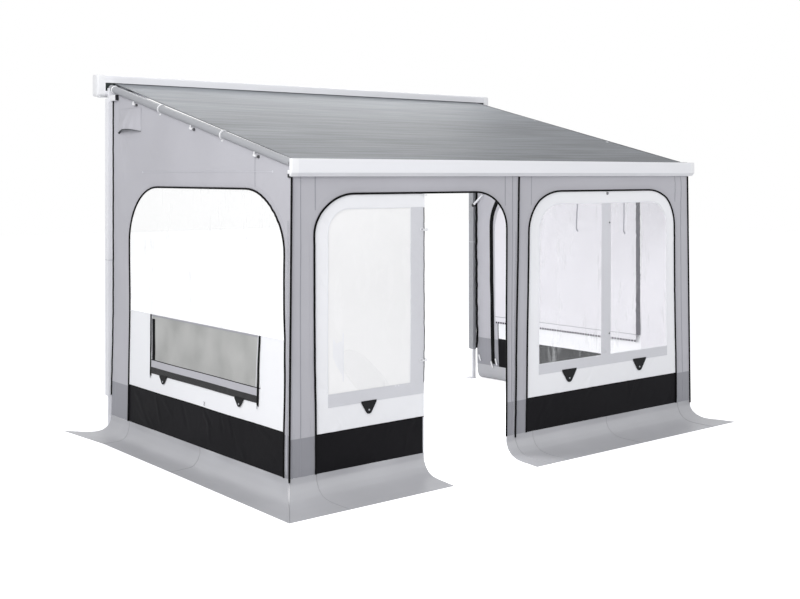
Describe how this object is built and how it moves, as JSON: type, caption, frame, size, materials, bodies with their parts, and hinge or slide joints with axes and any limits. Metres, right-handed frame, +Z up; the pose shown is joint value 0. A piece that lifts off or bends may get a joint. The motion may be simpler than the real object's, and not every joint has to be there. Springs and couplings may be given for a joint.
{
  "type": "caravan awning",
  "caption": "Wall-hung caravan awning: roller case, grey roof cloth, spring arms, telescopic rafters, folding legs, and a cloth room with clear windows, a folded-back door leaf and skirts.",
  "frame": {"origin": "middle of the footprint, on the ground", "axes": "+X along the case, to the right for someone outside looking at the front; +Y from the front to the vehicle's wall; +Z up"},
  "size_m": [4.3368, 3.133, 2.7905],
  "materials": {
    "white_alloy": "satin",
    "grey_alloy": "satin",
    "white_plastic": "satin",
    "roof_cloth": "matte",
    "wall_cloth": "matte",
    "band_cloth": "matte",
    "clear_film": "gloss",
    "mesh_cloth": "matte",
    "skirt_cloth": "satin",
    "dark_plastic": "matte"
  },
  "bodies": {
    "awning": {"case_housing": "white_alloy", "case_cap_left": "white_plastic", "case_cap_right": "white_plastic", "fabric_roller": "grey_alloy", "wall_bracket_left": "grey_alloy", "wall_bracket_middle": "grey_alloy", "wall_bracket_right": "grey_alloy", "roof_cloth": "roof_cloth", "lead_rail": "white_alloy", "rail_cap_left": "white_plastic", "rail_cap_right": "white_plastic", "arm_shoulder_left": "grey_alloy", "arm_shoulder_right": "grey_alloy", "arm_inner_left": "grey_alloy", "arm_inner_right": "grey_alloy", "arm_outer_left": "grey_alloy", "arm_outer_right": "grey_alloy", "arm_wrist_left": "grey_alloy", "arm_wrist_right": "grey_alloy", "rafter_rear_left": "grey_alloy", "rafter_rear_right": "grey_alloy", "rafter_middle_left": "grey_alloy", "rafter_middle_right": "grey_alloy", "rafter_front_left": "grey_alloy", "rafter_front_right": "grey_alloy", "leg_hinge_left": "grey_alloy", "leg_hinge_right": "grey_alloy", "rear_pole_left": "white_alloy", "rear_pole_right": "white_alloy", "side_wall_left": "wall_cloth", "side_wall_right": "wall_cloth", "side_window_left": "clear_film", "side_window_right": "clear_film", "side_panel_left": "band_cloth", "side_panel_right": "band_cloth", "vent_hood_left": "wall_cloth", "vent_hood_right": "wall_cloth", "front_wall_left": "wall_cloth", "front_wall_right": "wall_cloth", "front_panel": "band_cloth", "front_window": "clear_film", "door_panel": "band_cloth", "door_window": "clear_film", "skirt_left": "skirt_cloth", "skirt_right": "skirt_cloth", "skirt_front_left": "skirt_cloth", "skirt_front_right": "skirt_cloth"},
    "leg_upper_left": {"leg_upper_left": "white_alloy"},
    "leg_upper_right": {"leg_upper_right": "white_alloy"},
    "leg_lower_left": {"leg_lower_left": "grey_alloy"},
    "leg_lower_right": {"leg_lower_right": "grey_alloy"},
    "leg_foot_left": {"leg_foot_left": "dark_plastic"},
    "leg_foot_right": {"leg_foot_right": "dark_plastic"},
    "rear_pole_foot_left": {"rear_pole_foot_left": "white_alloy"},
    "rear_pole_foot_right": {"rear_pole_foot_right": "white_alloy"},
    "door_leaf": {"door_leaf": "band_cloth", "door_leaf_window": "clear_film"},
    "mesh_flap_left": {"mesh_flap_left": "mesh_cloth"},
    "mesh_flap_right": {"mesh_flap_right": "mesh_cloth"}
  },
  "joints": [
    {"name": "leg_fold_left", "type": "hinge", "parent": "awning", "child": "leg_upper_left", "pos_m": [-1.79141, -1.1995, 2.056], "axis": [0, -1, 0], "range_deg": [0, 90]},
    {"name": "leg_fold_right", "type": "hinge", "parent": "awning", "child": "leg_upper_right", "pos_m": [1.92459, -1.1775, 2.056], "axis": [0, 1, 0], "range_deg": [0, 90]},
    {"name": "leg_length_left", "type": "slide", "parent": "leg_upper_left", "child": "leg_lower_left", "axis": [0, 0, 1], "range_m": [-0.1, 0.75]},
    {"name": "leg_length_right", "type": "slide", "parent": "leg_upper_right", "child": "leg_lower_right", "axis": [0, 0, 1], "range_m": [-0.1, 0.75]},
    {"name": "leg_foot_tilt_left", "type": "hinge", "parent": "leg_lower_left", "child": "leg_foot_left", "pos_m": [-1.79141, -1.1995, 0.03], "axis": [0, 1, 0], "range_deg": [-30, 30]},
    {"name": "leg_foot_tilt_right", "type": "hinge", "parent": "leg_lower_right", "child": "leg_foot_right", "pos_m": [1.92459, -1.1775, 0.03], "axis": [0, 1, 0], "range_deg": [-30, 30]},
    {"name": "rear_pole_length_left", "type": "slide", "parent": "awning", "child": "rear_pole_foot_left", "axis": [0, 0, 1], "range_m": [-0.15, 0.28]},
    {"name": "rear_pole_length_right", "type": "slide", "parent": "awning", "child": "rear_pole_foot_right", "axis": [0, 0, 1], "range_m": [-0.15, 0.28]},
    {"name": "door_swing", "type": "hinge", "parent": "awning", "child": "door_leaf", "pos_m": [-0.83391, -1.217, 1], "axis": [0, 0, -1], "range_deg": [0, 180]},
    {"name": "mesh_flap_lift_left", "type": "hinge", "parent": "awning", "child": "mesh_flap_left", "pos_m": [-1.90841, -0.1065, 0.985], "axis": [0, 1, 0], "range_deg": [0, 170]},
    {"name": "mesh_flap_lift_right", "type": "hinge", "parent": "awning", "child": "mesh_flap_right", "pos_m": [2.00115, -0.10716, 0.985], "axis": [0.0363, -0.9993, 0], "range_deg": [0, 170]}
  ]
}
